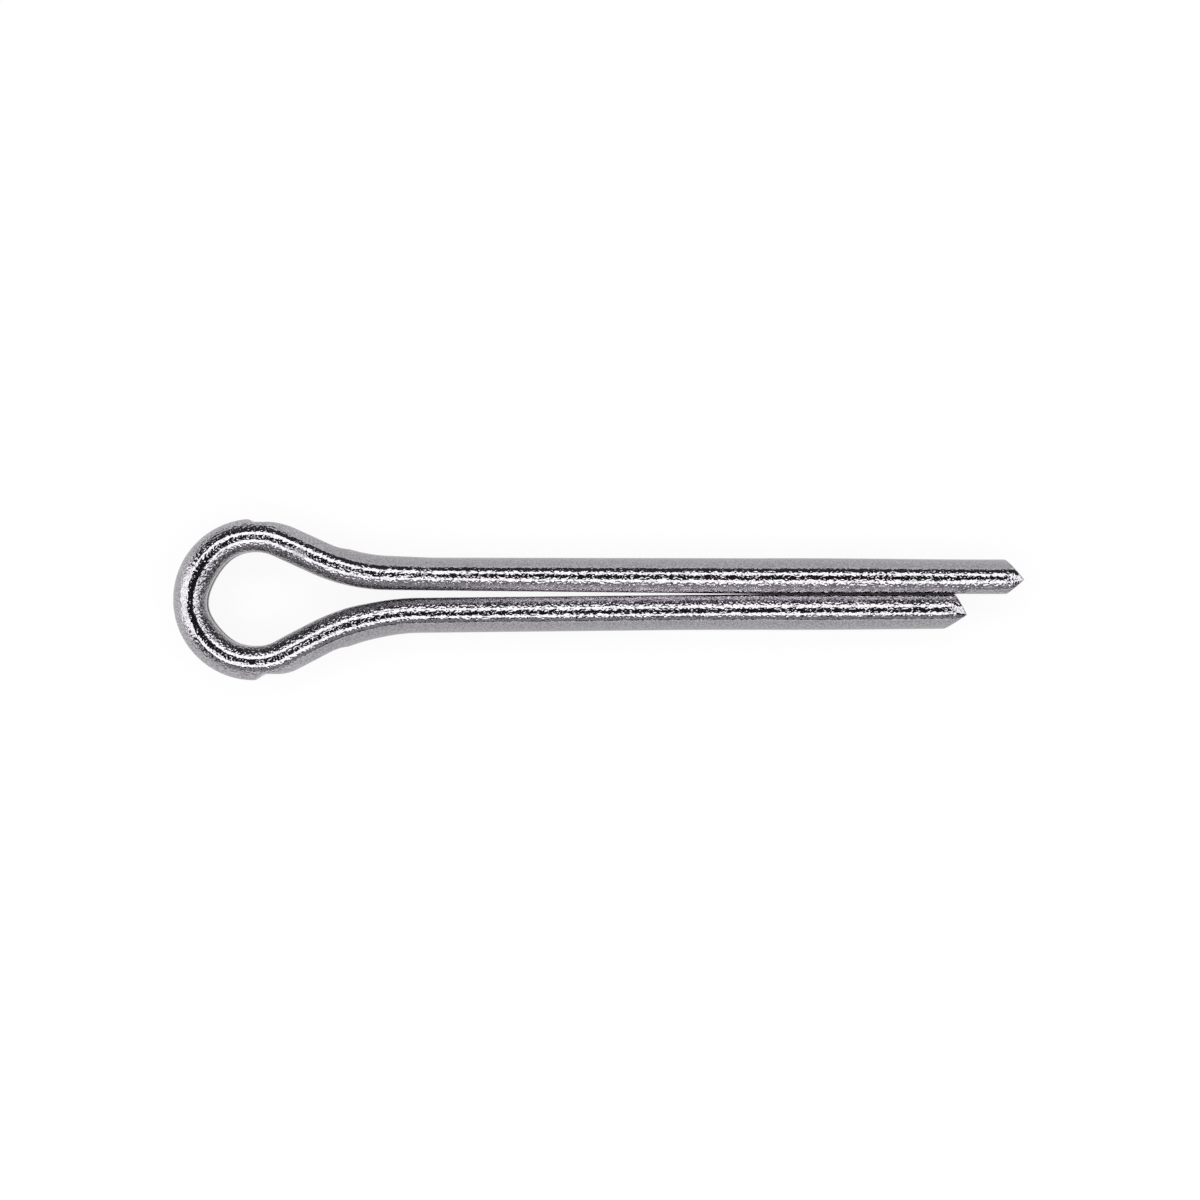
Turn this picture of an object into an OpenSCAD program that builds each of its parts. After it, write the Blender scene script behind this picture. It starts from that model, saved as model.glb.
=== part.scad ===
// Cotter pin: one length of half-round wire, bent into an eye and laid back on itself.
// X runs along the shank towards the tips, with the origin on the shank's axis where the neck ends.
// The pin lies flat, so the eye's hole is along Z.

/* [Wire] */
// Thickness of the wire, from its flat face to its back
wire_t = 2.2; // [1.8:0.01:2.6]
// Depth of the wire, along its flat face
wire_depth = 3.84; // [3.4:0.01:4.4]
// Radius of the two rolled corners beside the flat face
corner_r = 0.95; // [0.4:0.01:1.0]

/* [Shank] */
// Length of the short leg, from the neck to its tip
short_leg = 36.6; // [26:0.1:60]
// How far the long leg stands out past the short one
long_extra = 3.6; // [1.6:0.1:6]
// Gap between the two flat faces where the legs lie closed
closed_gap = 0.1; // [0.04:0.01:0.3]
// Distance from the neck at which the legs come together
closed_from = 21.6; // [14:0.1:24]
// Slope of the long leg before it closes, in degrees
long_slope = 0.3; // [0.2:0.01:1]
// Slope of the short leg before it closes, in degrees
short_slope = 0.7; // [0.2:0.01:1]

/* [Eye] */
// Diameter of the hole in the eye
eye_hole_d = 6; // [5:0.05:8]
// Distance from the middle of the eye to the end of the neck
eye_back = 8.4; // [8:0.05:12]
// How far the middle of the eye sits off the shank's axis, to the short leg's side
eye_off = 0.35; // [0:0.01:0.6]
// How much the back of the wire is pressed in round the eye
eye_press = 0.11; // [0.06:0.01:0.3]

/* [Neck] */
// Angle of the long leg's shoulder to the shank
long_shoulder = 24.5; // [20:0.1:34]
// Angle of the short leg's shoulder to the shank
short_shoulder = 27.5; // [20:0.1:34]
// Bend radius of the long leg's neck, at the flat face
long_neck_r = 10.2; // [6:0.1:13]
// Bend radius of the short leg's neck, at the flat face
short_neck_r = 12.4; // [6:0.1:13]
// Bend radius where the legs close, at the flat face
closing_r = 150; // [60:1:300]

/* [Die marks] */
// Height of the flat pressed beside the eye on the long leg's side, from the eye's middle
long_mark_h = 4.83; // [4.6:0.01:5]
// Where that flat starts, in degrees round the eye from its crown
long_mark_at = 86; // [70:1:95]
// Height of the flat pressed beside the eye on the short leg's side, from the eye's middle
short_mark_h = 4.73; // [4.6:0.01:5]
// Where that flat starts, in degrees round the eye from its crown
short_mark_at = 97; // [80:1:105]
// Length of the sloping step at the start of each flat
mark_step = 0.3; // [0.1:0.01:0.6]

/* [Cut ends] */
// Height of the long leg's edge above its flat face
long_edge_h = 0.84; // [0.5:0.01:1.6]
// Length of the long leg's cut on the flat side
long_inner_cut = 0.98; // [0.4:0.01:2]
// Length of the long leg's cut on the back
long_outer_cut = 1.06; // [0.4:0.01:2]
// Height of the short leg's edge above its flat face
short_edge_h = 1.3; // [0.5:0.01:1.6]
// Length of the short leg's cut on the flat side
short_inner_cut = 0.77; // [0.4:0.01:2]
// Length of the short leg's cut on the back
short_outer_cut = 1.45; // [0.4:0.01:2]

/* [Hidden] */
$fn = 64;
zinc = [0.72, 0.71, 0.73];
// A bend draws the wire in a little on every side, and ends inside the straight stretches beside it
bend_draw = 0.02;
bend_lap = 0.15;
// The back is this much tighter than a smooth run into the corners, which leaves a faint line there
back_tight = 0.01;

eye_r = eye_hole_d / 2;
pressed_r = eye_r + wire_t - eye_press;

corner_z = wire_depth / 2 - corner_r;
back_w = wire_t - corner_r;
back_r = (pow(back_w, 2) + pow(corner_z, 2) - pow(corner_r, 2)) / (2 * (back_w - corner_r)) - back_tight;
back_x = wire_t - back_r;

// The wire's section, with its flat face on x = 0 and its back at x = wire_t
module wire_section(inset = 0) {
  far = 4 * wire_t;
  difference() {
    translate([back_x, 0]) circle(back_r - inset);
    translate([inset - far, -far]) square([far, 2 * far]);
    for (side = [-1, 1]) difference() {
      polygon([
        [corner_r, side * corner_z],
        [-far, side * corner_z],
        [-far, side * far],
        [corner_r + far * (corner_r - back_x), side * (1 + far) * corner_z]
      ]);
      translate([corner_r, side * corner_z]) circle(corner_r - inset);
    }
  }
}

function lap_angle(r) = bend_lap / r * 180 / PI;

// A straight stretch along X, with the flat face on y = 0
module straight(length) {
  rotate([90, 0, 90]) linear_extrude(length) wire_section();
}

// A bend round the back of the wire, from the end of a stretch along X
module bend(r, angle) {
  translate([0, r, 0]) rotate(-90 - lap_angle(r))
    rotate_extrude(angle = angle + 2 * lap_angle(r))
      translate([r, 0]) mirror([1, 0]) wire_section(bend_draw);
}

module after_bend(r, angle) {
  translate([0, r, 0]) rotate(angle) translate([0, -r, 0]) children();
}

// What the pinch cutters take off a leg, leaving an edge at edge_h above the flat face
module tip_cut(edge_h, flat_cut, back_cut) {
  back_h = wire_t - edge_h;
  linear_extrude(2 * wire_depth, center = true)
    polygon([
      [-2 * flat_cut, -edge_h],
      [0, edge_h],
      [-2 * back_cut, edge_h + 2 * back_h],
      [2 * wire_t, edge_h + 2 * back_h],
      [2 * wire_t, -edge_h]
    ]);
}

// One leg from the eye to its tip, on the Y side of the shank's axis: a straight shoulder,
// the neck's bend, the stretch that slopes towards the other leg, and the stretch that lies closed
module leg(eye_y, shoulder, neck_r, slope, tip_x, cut) {
  rise = eye_y + eye_r * cos(shoulder) - neck_r * (cos(slope) - cos(shoulder))
       - closing_r * (1 - cos(slope)) - closed_gap / 2;
  run = closed_from + eye_back - eye_r * sin(shoulder) - neck_r * (sin(shoulder) - sin(slope))
      - closing_r * sin(slope);
  shoulder_len = (rise * cos(slope) - run * sin(slope)) / sin(shoulder - slope);
  sloping_len = (run * sin(shoulder) - rise * cos(shoulder)) / sin(shoulder - slope);
  difference() {
    translate([-eye_back, eye_y, 0]) rotate(-shoulder) translate([0, eye_r, 0]) {
      straight(shoulder_len);
      translate([shoulder_len, 0, 0]) {
        bend(neck_r, shoulder - slope);
        after_bend(neck_r, shoulder - slope) {
          straight(sloping_len);
          translate([sloping_len, 0, 0]) {
            bend(closing_r, slope);
            after_bend(closing_r, slope) straight(tip_x - closed_from + wire_t);
          }
        }
      }
    }
    translate([tip_x, closed_gap / 2, 0]) tip_cut(cut[0], cut[1], cut[2]);
  }
}

// What the ring die takes off the back of the eye, from one neck die's mark round to the other's
module press_cut() {
  far = 4 * pressed_r;
  margin = 3;
  linear_extrude(2 * wire_depth, center = true) difference() {
    polygon([
      [0, 0],
      far * [-cos(long_mark_at + margin), sin(long_mark_at + margin)],
      far * [-1, 1],
      far * [-1, -1],
      far * [-cos(short_mark_at + margin), -sin(short_mark_at + margin)]
    ]);
    circle(pressed_r);
  }
}

// What a neck die takes off the back of the eye: a flat at height h, beyond a sloping step
module mark_cut(at, h) {
  x = -pressed_r * cos(at);
  step_h = pressed_r * sin(at) - h;
  linear_extrude(2 * wire_depth, center = true)
    polygon([
      [x + mark_step, h],
      [x - mark_step, h + 2 * step_h],
      [x - mark_step, h + 3 * wire_t],
      [eye_back, h + 3 * wire_t],
      [eye_back, h]
    ]);
}

module eye() {
  difference() {
    rotate(90 - long_shoulder - lap_angle(eye_r))
      rotate_extrude(angle = 180 + long_shoulder + short_shoulder + 2 * lap_angle(eye_r))
        translate([eye_r, 0]) wire_section(bend_draw);
    press_cut();
    mark_cut(long_mark_at, long_mark_h);
    mirror([0, 1, 0]) mark_cut(short_mark_at, short_mark_h);
  }
}

module pin() {
  color(zinc) {
    translate([-eye_back, -eye_off, 0]) eye();
    leg(-eye_off, long_shoulder, long_neck_r, long_slope, short_leg + long_extra,
        [long_edge_h, long_inner_cut, long_outer_cut]);
    mirror([0, 1, 0])
      leg(eye_off, short_shoulder, short_neck_r, short_slope, short_leg,
          [short_edge_h, short_inner_cut, short_outer_cut]);
  }
}

pin();
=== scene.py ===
import math

import bmesh
import bpy
from mathutils import Matrix, Vector


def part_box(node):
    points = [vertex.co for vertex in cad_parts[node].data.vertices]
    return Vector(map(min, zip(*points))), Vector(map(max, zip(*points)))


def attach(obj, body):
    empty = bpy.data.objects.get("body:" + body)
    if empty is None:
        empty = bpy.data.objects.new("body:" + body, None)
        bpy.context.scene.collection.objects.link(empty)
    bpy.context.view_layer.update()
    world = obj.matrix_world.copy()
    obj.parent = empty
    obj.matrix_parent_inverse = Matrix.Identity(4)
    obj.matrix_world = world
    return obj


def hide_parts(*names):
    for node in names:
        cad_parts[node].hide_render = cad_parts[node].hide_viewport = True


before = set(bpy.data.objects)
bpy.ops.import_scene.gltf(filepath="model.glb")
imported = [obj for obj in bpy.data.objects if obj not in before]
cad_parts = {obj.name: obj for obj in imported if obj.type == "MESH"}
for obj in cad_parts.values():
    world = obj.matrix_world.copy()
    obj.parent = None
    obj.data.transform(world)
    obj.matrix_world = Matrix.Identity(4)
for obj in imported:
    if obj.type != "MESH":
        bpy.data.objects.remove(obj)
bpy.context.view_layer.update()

# Camera: it hangs straight above the middle of the pin and looks down on it, with the eye on the left.
# It is high enough above the pin that the ends look no more slanted than the middle.

mm = 0.001
view_middle = Vector((13.40 * mm, -0.375 * mm, 0))
view_width = 75.84 * mm
camera_height = 259 * mm

camera = bpy.data.objects.new("camera", bpy.data.cameras.new("camera"))
bpy.context.scene.collection.objects.link(camera)
camera.location = view_middle + Vector((0, 0, camera_height))
camera.data.angle = 2 * math.atan(view_width / 2 / camera_height)
camera.data.clip_start = 10 * mm
camera.data.clip_end = 20
bpy.context.scene.camera = camera

# Pin: one length of half-round steel wire, drawn with a flat face and a round back. A machine bends it
# round a mandrel into the eye, pinches it off at both ends and lays the two legs flat against each other.
# It is zinc plated after that: bright, with a fine grain wherever no die has rubbed it smooth.

low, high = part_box("pin")
wire_t = 2.27 * mm
wire_depth = high.z - low.z
inner_corner_r = 1.04 * mm
outer_corner_r = 0.8 * mm

long_tip = high.x - 0.14 * mm
short_tip = 36.47 * mm
closed_gap = 0.003 * mm
closed_from = 24 * mm
closing_r = 60 * mm
closing_slope = math.radians(0.61)

eye_r = 3 * mm
pressed_r = 5.09 * mm
eye = Vector((low.x + pressed_r, low.y + pressed_r, 0))

long_shoulder = math.radians(24.5)
short_shoulder = math.radians(27.5)
long_neck_r = 12 * mm
short_neck_r = 15.5 * mm

# The section has two rolled corners, rounder towards the flat face, and a back that runs into them.
flat_y = closed_gap / 2
corner_y = flat_y + inner_corner_r
inner_corner_z = wire_depth / 2 - inner_corner_r
outer_corner_z = wire_depth / 2 - outer_corner_r
back_w = wire_t - inner_corner_r
back_r = (back_w ** 2 + outer_corner_z ** 2 - outer_corner_r ** 2) / (2 * (back_w - outer_corner_r))
back_y = flat_y + wire_t - back_r
joint_angle = math.atan2(outer_corner_z, corner_y - back_y)
joint_z = back_r * math.sin(joint_angle)
start_x = long_tip + wire_t
circle_parts = 80
corner_steps = 12
flat_cuts = 9
near = 0.002 * mm
weld = 0.0001 * mm


def pick(test):
    """Selects the wire's vertices that pass the test, and nothing else."""
    bpy.ops.mesh.select_mode(type="VERT")
    mesh = bmesh.from_edit_mesh(wire.data)
    for vertex in mesh.verts:
        vertex.select = test(vertex.co)
    mesh.select_flush_mode()
    bmesh.update_edit_mesh(wire.data)


bpy.ops.object.select_all(action="DESELECT")
bpy.ops.mesh.primitive_circle_add(vertices=circle_parts, radius=back_r, location=(start_x, back_y, 0),
                                  rotation=(0, math.pi / 2, 0))
wire = bpy.context.object
wire.name = wire.data.name = "pin_wire"
bpy.ops.object.transform_apply(location=True, rotation=True, scale=True)
bpy.ops.object.mode_set(mode="EDIT")
for side in (1, -1):
    bpy.ops.mesh.select_all(action="SELECT")
    bpy.ops.mesh.bisect(plane_co=(0, 0, side * joint_z), plane_no=(0, 0, side), clear_outer=True,
                        threshold=weld)
bpy.ops.mesh.select_all(action="SELECT")
bpy.ops.mesh.bisect(plane_co=(0, flat_y, 0), plane_no=(0, -1, 0), clear_outer=True, threshold=weld)
for side in (1, -1):
    pick(lambda co: co.z * side > joint_z - near)
    bpy.ops.mesh.spin(steps=corner_steps, angle=-side * (math.pi / 2 - joint_angle),
                      center=(start_x, corner_y, side * outer_corner_z), axis=(1, 0, 0))
    pick(lambda co: co.z * side > joint_z and abs(co.y - corner_y) < near)
    bpy.ops.mesh.spin(steps=corner_steps, angle=-side * math.pi / 2,
                      center=(start_x, corner_y, side * inner_corner_z), axis=(1, 0, 0))
pick(lambda co: co.y < flat_y + near)
bpy.ops.mesh.edge_face_add()
bpy.ops.mesh.subdivide(number_cuts=flat_cuts)

# The section carries two marks along the wire: the angle round its corners, from 0 at the middle of the
# back to a half turn at the middle of the flat face, and the share of its thickness, from 0 at the flat
# face to 1 at the back.
bpy.ops.object.mode_set(mode="OBJECT")
around = wire.data.attributes.new("around", "FLOAT", "POINT")
share = wire.data.attributes.new("share", "FLOAT", "POINT")
for vertex in wire.data.vertices:
    around.data[vertex.index].value = abs(math.atan2(vertex.co.z, vertex.co.y - corner_y))
    share.data[vertex.index].value = (vertex.co.y - flat_y) / wire_t
bpy.ops.object.mode_set(mode="EDIT")

# Drawing the wire: each stretch carries the section on from where the last one ended, from the long leg's
# tip round the eye to the short leg's.
ring_step = 0.15 * mm
tip_len = 2 * wire_t


def turned(vector, angle):
    """The vector turned to the left by the angle."""
    return Matrix.Rotation(angle, 3, "Z") @ vector


def draw_straight(spot, heading, length, step=ring_step):
    """Draws the wire straight on, and gives the place where it ends."""
    rings = max(1, round(length / step))
    for ring in range(rings):
        bpy.ops.mesh.extrude_edges_move(TRANSFORM_OT_translate={"value": heading * (length / rings)})
    return spot + heading * length


def draw_bend(spot, heading, radius, angle):
    """Draws a bend of the flat face: to the left round the face's side, to the right round the back's."""
    side = 1 if angle > 0 else -1
    centre = spot + turned(heading, side * math.pi / 2) * radius
    rings = max(2, round(abs(angle) * (radius + side * wire_t / 2) / ring_step))
    bpy.ops.mesh.spin(steps=rings, angle=-angle, center=centre, axis=(0, 0, 1))
    return centre + turned(spot - centre, angle), turned(heading, angle)


def stretch_lengths(eye_y, shoulder, neck_r):
    """The lengths of a leg's straight shoulder and of the stretch that slopes towards the other leg."""
    rise = (eye_y + eye_r * math.cos(shoulder) - neck_r * (math.cos(closing_slope) - math.cos(shoulder))
            - closing_r * (1 - math.cos(closing_slope)) - flat_y)
    run = (closed_from - eye.x - eye_r * math.sin(shoulder)
           - neck_r * (math.sin(shoulder) - math.sin(closing_slope)) - closing_r * math.sin(closing_slope))
    across_both = math.sin(shoulder - closing_slope)
    shoulder_len = (rise * math.cos(closing_slope) - run * math.sin(closing_slope)) / across_both
    sloping_len = (run * math.sin(shoulder) - rise * math.cos(shoulder)) / across_both
    return shoulder_len, sloping_len


spot = Vector((start_x, flat_y, 0))
heading = Vector((-1, 0, 0))
pick(lambda co: True)
spot = draw_straight(spot, heading, tip_len, step=tip_len)
spot = draw_straight(spot, heading, start_x - tip_len - closed_from)
shoulder_len, sloping_len = stretch_lengths(eye.y, long_shoulder, long_neck_r)
spot, heading = draw_bend(spot, heading, closing_r, -closing_slope)
spot = draw_straight(spot, heading, sloping_len)
spot, heading = draw_bend(spot, heading, long_neck_r, closing_slope - long_shoulder)
spot = draw_straight(spot, heading, shoulder_len)
spot, heading = draw_bend(spot, heading, eye_r, math.pi + long_shoulder + short_shoulder)
shoulder_len, sloping_len = stretch_lengths(-eye.y, short_shoulder, short_neck_r)
spot = draw_straight(spot, heading, shoulder_len)
spot, heading = draw_bend(spot, heading, short_neck_r, closing_slope - short_shoulder)
spot = draw_straight(spot, heading, sloping_len)
spot, heading = draw_bend(spot, heading, closing_r, -closing_slope)
spot = draw_straight(spot, heading, short_tip + wire_t - tip_len - closed_from)
draw_straight(spot, heading, tip_len, step=tip_len)

# The cut ends: pinching cutters leave two slanting faces that meet at an edge, with their rims rolled
# over. The stretch next to each is then cut into short rings, as the rest of the wire is.
rim_r = 0.08 * mm
rim_parts = 4
tip_cuts = 19
uncut_len = 0.4 * mm


def pick_edges(test):
    """Selects the wire's edges that pass the test, and nothing else."""
    bpy.ops.mesh.select_mode(type="EDGE")
    bpy.ops.mesh.select_all(action="DESELECT")
    mesh = bmesh.from_edit_mesh(wire.data)
    for edge in mesh.edges:
        edge.select = test(edge)
    mesh.select_flush_mode()
    bmesh.update_edit_mesh(wire.data)


def pinch_off(tip_x, side, edge_h, flat_cut, back_cut):
    """Cuts a leg off with two slanting faces that meet at tip_x, edge_h above the leg's flat face."""
    edge_at = Vector((tip_x, side * (flat_y + edge_h), 0))
    back_face = Vector((wire_t - edge_h, side * back_cut, 0)).normalized()
    flat_face = Vector((edge_h, -side * flat_cut, 0)).normalized()

    def at_tip(co):
        return co.x > tip_x - wire_t - ring_step / 2 and co.y * side > 0

    def cut_faces(edge):
        return [face for face in edge.link_faces
                if any(all(abs((vert.co - edge_at).dot(normal)) < weld for vert in face.verts)
                       for normal in (back_face, flat_face))]

    for normal in (back_face, flat_face):
        pick(at_tip)
        bpy.ops.mesh.bisect(plane_co=edge_at, plane_no=normal, use_fill=True, clear_outer=True,
                            threshold=weld)
    pick_edges(lambda edge: len(edge.link_faces) == 2 and len(cut_faces(edge)) == 1)
    bpy.ops.mesh.bevel(offset=rim_r, segments=rim_parts, profile=0.5, clamp_overlap=False)
    pick_edges(lambda edge: edge.calc_length() > uncut_len and all(at_tip(vert.co) for vert in edge.verts)
               and (edge.verts[0].co - edge.verts[1].co).yz.length < weld)
    bpy.ops.mesh.subdivide(number_cuts=tip_cuts)


pinch_off(long_tip, 1, 0.93 * mm, 1.04 * mm, 1.06 * mm)
pinch_off(short_tip, -1, 1.36 * mm, 0.72 * mm, 1.32 * mm)
bpy.ops.mesh.select_all(action="SELECT")
bpy.ops.mesh.normals_make_consistent(inside=False)
bpy.ops.object.mode_set(mode="OBJECT")

# The dies: a ring die presses the back in round the eye. A die on each neck starts with a step, presses a
# flat, turns down over its nose and follows the shoulder to its end, where it curves away. For each side
# there is the step's start round the eye, its width, the flat's height, the nose's radius and the slant.
shoulder_h = 5.15 * mm
die_end_x = 4.8 * mm
die_end_r = 2.5 * mm
neck_dies = {
    1: (math.radians(86), 0.3 * mm, 4.91 * mm, 4.35 * mm, long_shoulder),
    -1: (math.radians(91), 0.6 * mm, 4.70 * mm, 2.5 * mm, short_shoulder)}

# The mandrel inside the eye is worn, so the hole is not quite round. The crest is pressed in on both sides
# of the eye, and the wire's outer corner stands out on the long leg's side.
mandrel_flats = [  # where each lies round the eye, how far it reaches to both sides and its depth
    (math.radians(149), math.radians(45), 0.17 * mm),
    (math.radians(184), math.radians(28), -0.035 * mm),
    (math.radians(222), math.radians(32), 0.11 * mm),
    (math.radians(272), math.radians(55), 0.07 * mm)]
eye_end = 2 * mm
eye_side = (1 * mm, 3.5 * mm)
crest_in, crest_heights = 0.08 * mm, (0.9 * mm, 1.6 * mm)
corner_out, corner_shares = 0.075 * mm, (0.64, 0.8, 0.81, 0.97)

# The rolls that close the legs press the long leg's back in, most of all next to the eye. On the short leg
# they push the flat face out beside the eye and press the back in a little. Both legs thin towards their
# tips, where the cutters have also squeezed the crest down.
long_back_in, press_from, press_grows, press_fades = 0.19 * mm, -3 * mm, 6 * mm, 22 * mm
short_flat_out, short_flat_part = 0.08 * mm, (0.5 * mm, 2 * mm, 5.6 * mm, 7.6 * mm)
short_back_in, short_back_part = 0.045 * mm, (-1 * mm, 2 * mm, 18 * mm, 25 * mm)
tip_thin, tip_thin_part = 0.08 * mm, (26 * mm, 38 * mm)
tip_squeeze, tip_squeeze_len = 0.17, 1.3 * mm


def die_height(side, x):
    """How high above the middle of the eye a neck die stands."""
    starts_at, step_w, flat_h, nose_r, shoulder = neck_dies[side]
    nose_x = (shoulder_h - nose_r - (flat_h - nose_r) * math.cos(shoulder)) / math.sin(shoulder)
    step_x = -pressed_r * math.cos(starts_at) + step_w
    if x < step_x:
        return flat_h + (pressed_r * math.sin(starts_at) - flat_h) * (step_x - x) / step_w
    if x < nose_x:
        return flat_h
    if x < nose_x + nose_r * math.sin(shoulder):
        return flat_h - nose_r + math.sqrt(nose_r ** 2 - (x - nose_x) ** 2)
    past_end = max(0, x - die_end_x)
    return (shoulder_h - x * math.sin(shoulder)) / math.cos(shoulder) + past_end ** 2 / (2 * die_end_r)


def fade(value, start, end):
    """Goes smoothly from 0 at start to 1 at end, either way round."""
    step = min(1, max(0, (value - start) / (end - start)))
    return step * step * (3 - 2 * step)


def between(value, start, full_from, full_to, end):
    """Goes smoothly from 0 at start to 1, and back to 0 at end."""
    return fade(value, start, full_from) * fade(value, end, full_to)


def pressed(place, height):
    """Where a point of the wire's surface lies after the dies and rolls have pressed it."""
    out = place - eye
    side = 1 if place.y > 0 else -1
    starts_at, step_w = neck_dies[side][:2]
    in_eye = fade(out.x, eye_end, 0)
    on_side = fade(abs(out.y), *eye_side) * in_eye
    if side > 0:
        out.y += corner_out * between(height, *corner_shares) * on_side
    reach = math.hypot(out.x, out.y)
    if reach > pressed_r and math.atan2(abs(out.y), -out.x) < starts_at:
        out.x, out.y = out.x * pressed_r / reach, out.y * pressed_r / reach
    if out.x > -pressed_r * math.cos(starts_at) - step_w / 2 and abs(out.y) > die_height(side, out.x):
        out.y = side * die_height(side, out.x)
    for flat_angle, half_width, depth in mandrel_flats:
        off = abs(math.atan2(out.y, out.x) % (2 * math.pi) - flat_angle)
        fill = depth * fade(off, half_width, 0) * in_eye * (1 - height) ** 2
        out.x, out.y = out.x * (1 - fill / reach), out.y * (1 - fill / reach)
    out.y -= side * crest_in * fade(abs(place.z), *crest_heights) * on_side
    if side > 0:
        pressing = min(1, (place.x - press_from) / press_grows, (closed_from - place.x) / press_fades)
        out.y -= long_back_in * max(0, pressing) * height
    else:
        out.y += short_flat_out * between(out.x, *short_flat_part) * (1 - height)
        out.y += short_back_in * between(place.x, *short_back_part) * height
    out.y -= side * tip_thin * fade(place.x, *tip_thin_part) * height
    tip_x = long_tip if side > 0 else short_tip
    out.z *= 1 - tip_squeeze * max(0, (place.x - tip_x) / tip_squeeze_len + 1) ** 2
    return eye + out


for vertex in wire.data.vertices:
    vertex.co = pressed(vertex.co, wire.data.attributes["share"].data[vertex.index].value)
wire.data.shade_smooth()

zinc = bpy.data.materials.new("zinc_plate")
zinc.use_nodes = True
nodes, links = zinc.node_tree.nodes, zinc.node_tree.links
shader = nodes["Principled BSDF"]
shader.inputs["Metallic"].default_value = 1


def node(kind, settings=(), inputs=()):
    """A node of the material in hand, with its settings and with its inputs set or linked."""
    made = nodes.new("ShaderNode" + kind)
    for name, value in dict(settings).items():
        setattr(made, name, value)
    for name, value in dict(inputs).items():
        if isinstance(value, bpy.types.NodeSocket):
            links.new(value, made.inputs[name])
        else:
            made.inputs[name].default_value = value
    return made


def ramp(value, low_at, high_at, low_value, high_value):
    """A value that changes smoothly between two limits."""
    return node("MapRange", {"interpolation_type": "SMOOTHSTEP"}, {
        "Value": value, "From Min": low_at, "From Max": high_at,
        "To Min": low_value, "To Max": high_value}).outputs["Result"]


def reckon(operation, first, second=0):
    """One step of arithmetic on the values of the material in hand."""
    return node("Math", {"operation": operation}, {0: first, 1: second}).outputs["Value"]


on_pin = node("TexCoord").outputs["Object"]
place_parts = node("SeparateXYZ", inputs={"Vector": on_pin}).outputs
along, across = place_parts["X"], place_parts["Y"]
section_angle = node("Attribute", {"attribute_name": "around"}).outputs["Fac"]
crest = math.pi / 2
inner_corner = (crest + 0.15, crest + 0.35)

# The plating's grain is strong over the crest and stronger on the inner corners. The back is drawn smooth,
# but in the eye, where the wire is bent, the grain goes on over a part of it. It is quiet along the two
# bright lines beside the crest, above all in the eye.
grain_size = 0.14 * mm
back_grain, crest_grain, inner_grain = 0.048 * mm, 0.037 * mm, 0.068 * mm
bright_line = 0.13
grain = node("TexNoise", inputs={
    "Vector": on_pin, "Scale": 1 / grain_size, "Detail": 0.5, "Roughness": 0.5}).outputs["Fac"]
outer_grain = ramp(section_angle, crest - 0.3, crest - 0.2, back_grain, crest_grain)
grain_height = ramp(section_angle, *inner_corner, outer_grain, inner_grain)
grain_angle = reckon("ADD", section_angle, ramp(along, -8 * mm, -4 * mm, 0.25, 0))
grainy = ramp(grain_angle, crest - 0.37, crest - 0.2, 0.05, 1)
from_crest = reckon("ABSOLUTE", reckon("SUBTRACT", section_angle, crest))
from_line = reckon("ABSOLUTE", reckon("SUBTRACT", from_crest, bright_line))
line_grain = ramp(along, -6 * mm, 0, 0.25, 0.6)
off_line = ramp(from_line, 0.03, 0.075, line_grain, 1)
grain_bump = node("Bump", inputs={
    "Height": grain, "Distance": grain_height, "Strength": reckon("MULTIPLY", grainy, off_line)})
links.new(grain_bump.outputs["Normal"], shader.inputs["Normal"])

# Small knocks on the upper side, where the zinc is scuffed matte: a patch on the long shoulder, two where
# a die has closed over the eye and two together across the short leg.
zinc_rough, inner_rough, scuff_rough = 0.1, 0.15, 0.3
knocks = [  # in millimetres: where each lies along and across the pin, and its radius
    (-5.6, 2.6, 0.27), (-5.35, 2.47, 0.27), (-6.2, 2.87, 0.16), (-8.27, 3.56, 0.1), (-8.7, 3.6, 0.08),
    (28.6, -1.05, 0.07), (28.6, -1.18, 0.07)]
roughness = ramp(section_angle, *inner_corner, zinc_rough, inner_rough)
for knock_x, knock_y, knock_r in knocks:
    from_knock = node("VectorMath", {"operation": "DISTANCE"}, {
        0: on_pin, 1: (knock_x * mm, knock_y * mm, high.z)}).outputs["Value"]
    scuff = ramp(from_knock, knock_r * mm, knock_r * 1.5 * mm, scuff_rough, 0)
    roughness = reckon("MAXIMUM", roughness, scuff)
links.new(roughness, shader.inputs["Roughness"])

# Painted shade: deep in the groove between the closed legs the colour and the edge tint are made nearly
# black. Painted light: on the corners beside it the colour is made lighter, and in the eye and past the
# short tip painted shade makes them darker again. Painted shade also makes the back and the flat face
# darker than the crest.
groove_shade_level, groove_depths = 0.01, (0.03 * mm, 0.12 * mm)
groove_start, groove_end = (18 * mm, 20 * mm), (35.7 * mm, 35.9 * mm)
# Painted shade: the colour goes nearly black deep in the groove between the closed legs.
painted_groove_shade = ramp(reckon("ABSOLUTE", across), *groove_depths, groove_shade_level, 1)
painted_groove_shade = reckon("MAXIMUM", painted_groove_shade, ramp(along, *groove_start, 1, 0))
painted_groove_shade = reckon("MAXIMUM", painted_groove_shade, ramp(along, *groove_end, 0, 1))
# Painted light on the corners beside the groove, which turns to painted shade in the eye and past the
# short tip.
corner_light_share = reckon("MULTIPLY", ramp(along, -8 * mm, 10 * mm, -0.9, 1),
                    ramp(along, 35.5 * mm, 36.5 * mm, 1, -0.6))
painted_corner_light = reckon("POWER", ramp(section_angle, crest + 0.2, crest + 0.8, 1, 1.9), corner_light_share)
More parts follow.
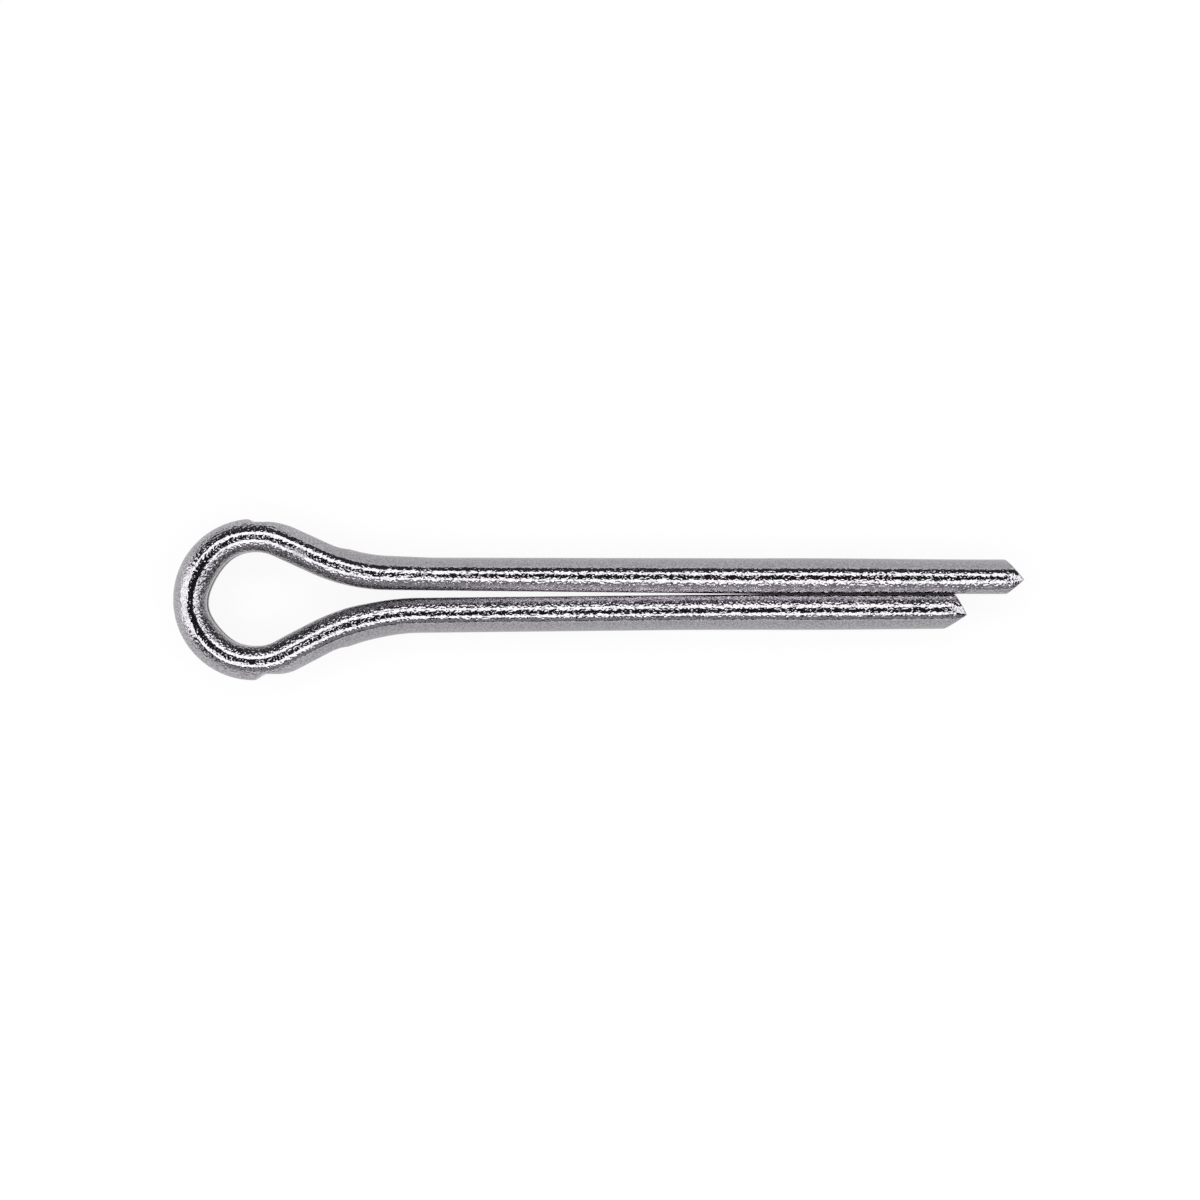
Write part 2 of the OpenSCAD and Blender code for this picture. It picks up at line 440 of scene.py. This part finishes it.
# Painted shade: the flat face, and less so the back, are made darker than the crest. The back is darker on
# the legs than at the far end of the eye.
painted_face_shade = ramp(section_angle, crest + 1, crest + 1.4, 1, 0.45)
painted_back_shade = ramp(section_angle, crest - 0.45, crest - 0.25, ramp(along, -7 * mm, -2 * mm, 0.92, 0.76), 1)
tone = reckon("MULTIPLY", reckon("MULTIPLY", painted_groove_shade, painted_face_shade), reckon("MULTIPLY", painted_corner_light, painted_back_shade))
# Painted shade in the edge tint: it is taken down on the flat face, a little on the back, and in the
# groove.
edge_tint_shade = reckon("MULTIPLY", ramp(section_angle, crest + 0.9, crest + 1.4, 1, 0.1),
                ramp(section_angle, crest - 1.2, crest - 0.5, 0.8, 1))
links.new(reckon("MULTIPLY", painted_groove_shade, edge_tint_shade), shader.inputs["Specular Tint"])

# The zinc's crystals give it a mottled tone, from a middle to a light grey.
mottle_size = 0.12 * mm
mottle = node("TexNoise", inputs={
    "Vector": on_pin, "Scale": 1 / mottle_size, "Detail": 2, "Roughness": 0.7}).outputs["Fac"]
spread = node("MapRange", inputs={"Value": mottle, "From Min": 0.375, "From Max": 0.625}).outputs["Result"]
zinc_tone = node("Mix", {"data_type": "RGBA"}, {
    "Factor": spread, "A": (0.29, 0.278, 0.297, 1), "B": (0.55, 0.528, 0.565, 1)}).outputs["Result"]
# The painted light and shade above is multiplied into the mottled zinc colour.
toned = node("Mix", {"data_type": "RGBA", "blend_type": "MULTIPLY"}, {
    "Factor": 1.0, "A": zinc_tone, "B": tone}).outputs["Result"]
links.new(toned, shader.inputs["Base Color"])
wire.data.materials.append(zinc)

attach(wire, "root")
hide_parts("pin")

# Floor: a plain pale sheet of paper that the pin lies on, wide enough to fill every view. It shows at the
# same pale level in every view and in the metal, and still takes the pin's shadow.

floor_size = 6
paper_tone = 0.1
paper_glow = 0.9

bpy.ops.mesh.primitive_plane_add(size=floor_size, location=(view_middle.x, view_middle.y, low.z))
floor = bpy.context.object
floor.name = "floor"
paper = bpy.data.materials.new("paper")
paper.use_nodes = True
nodes, links = paper.node_tree.nodes, paper.node_tree.links
shader = nodes["Principled BSDF"]
shader.inputs["Base Color"].default_value = (paper_tone, paper_tone, paper_tone, 1)
shader.inputs["Roughness"].default_value = 1
shader.inputs["Specular IOR Level"].default_value = 0
shader.inputs["Emission Color"].default_value = (1, 1, 1, 1)
rays = node("LightPath").outputs
seen = reckon("MAXIMUM", rays["Is Camera Ray"], rays["Is Glossy Ray"])
seen = reckon("MAXIMUM", seen, rays["Is Transmission Ray"])
links.new(reckon("MULTIPLY", seen, paper_glow), shader.inputs["Emission Strength"])
floor.data.materials.append(paper)

# Lamps: soft panels round an open middle overhead, where the camera hangs, a tall one beyond each end of
# the pin, a weak one in front and a very weak one behind.

panel_h = 0.5
hole = panel_h * math.tan(math.radians(20.5))
rim_y = panel_h * math.tan(math.radians(44))
end_x = 0.36
right_from = 0.25
overhead_light = 2.45
end_wall_x, end_wall_w, end_wall_light = 0.38, 0.4, 2.0
long_wall_y, long_wall_h, long_wall_w, long_wall_tall = 0.6, 0.25, 1.2, 0.34
front_light, back_light = 0.42, 0.04


def panel(name, centre, width, depth, radiance, turn=(0, 0, 0)):
    """A soft panel that faces down until it is turned. Its light is the same from every side."""
    lamp = bpy.data.lights.new(name, "AREA")
    lamp.shape = "RECTANGLE"
    lamp.size = width
    lamp.size_y = depth
    lamp.energy = radiance * math.pi * width * depth
    holder = bpy.data.objects.new(name, lamp)
    holder.location = Vector(centre) + view_middle
    holder.rotation_euler = turn
    bpy.context.scene.collection.objects.link(holder)


for name, side in (("back", 1), ("front", -1)):
    panel("panel_" + name, (0, side * (hole + rim_y) / 2, panel_h), 2 * end_x, rim_y - hole,
          overhead_light)
for name, side, from_x, foot in (("right", 1, right_from, 0.11), ("left", -1, hole, 0.03)):
    panel("panel_" + name, (side * (from_x + end_x) / 2, 0, panel_h), end_x - from_x, 2 * hole,
          overhead_light)
    panel("wall_" + name, (side * end_wall_x, 0, (panel_h + foot) / 2), panel_h - foot, end_wall_w,
          end_wall_light, turn=(0, side * math.pi / 2, 0))
for name, side, light in (("front", -1, front_light), ("back", 1, back_light)):
    panel("wall_" + name, (0, side * long_wall_y, long_wall_h), long_wall_w, long_wall_tall, light,
          turn=(-side * math.pi / 2, 0, 0))

world = bpy.data.worlds.new("room")
world.use_nodes = True
world.node_tree.nodes["Background"].inputs["Color"].default_value = (0.015, 0.015, 0.016, 1)
bpy.context.scene.world = world
bpy.context.scene.view_settings.view_transform = "Standard"
